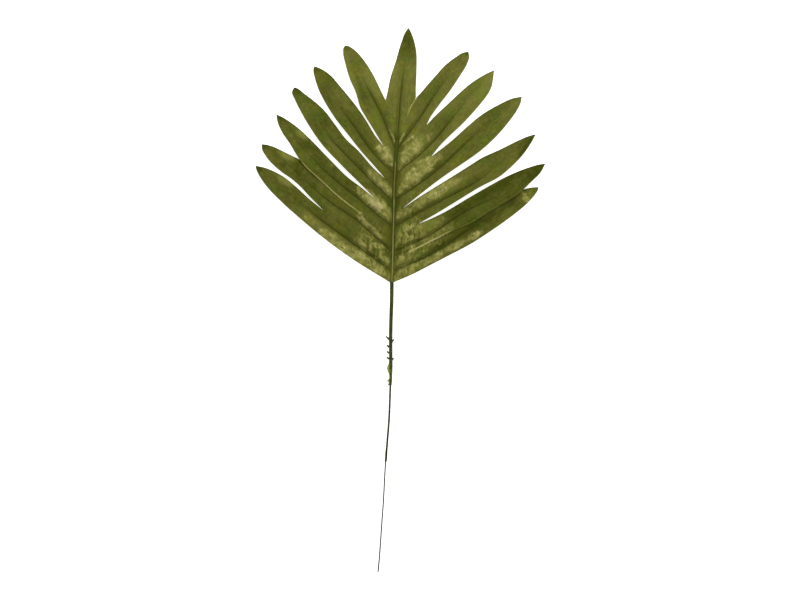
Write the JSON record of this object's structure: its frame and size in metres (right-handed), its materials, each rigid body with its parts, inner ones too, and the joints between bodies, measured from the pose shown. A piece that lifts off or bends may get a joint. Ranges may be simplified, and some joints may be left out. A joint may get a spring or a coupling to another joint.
{
  "type": "artificial fan palm leaf",
  "caption": "Pleated fan palm leaf of pressed fabric with pointed lobes on a moulded, wired stem, lying face up.",
  "frame": {"origin": "middle of the leaf's outline, on the surface that it lies on", "axes": "+Y from the wire's end to the tip of the top lobe, +X to the right seen from the front, +Z out of the blade's face"},
  "size_m": [0.29, 0.5445, 0.0103],
  "materials": {
    "leaf_fabric": "olive green coated fabric, pressed, with a soft sheen",
    "stem_plastic": "dark green moulded plastic with a satin skin",
    "coat_plastic": "thin grey-green plastic coat",
    "wire_steel": "bare drawn steel wire, dull"
  },
  "bodies": {
    "root": {"leaf_blade": "leaf_fabric", "moulded_stem": "stem_plastic", "wire_coat": "coat_plastic", "wire": "wire_steel"}
  },
  "joints": []
}
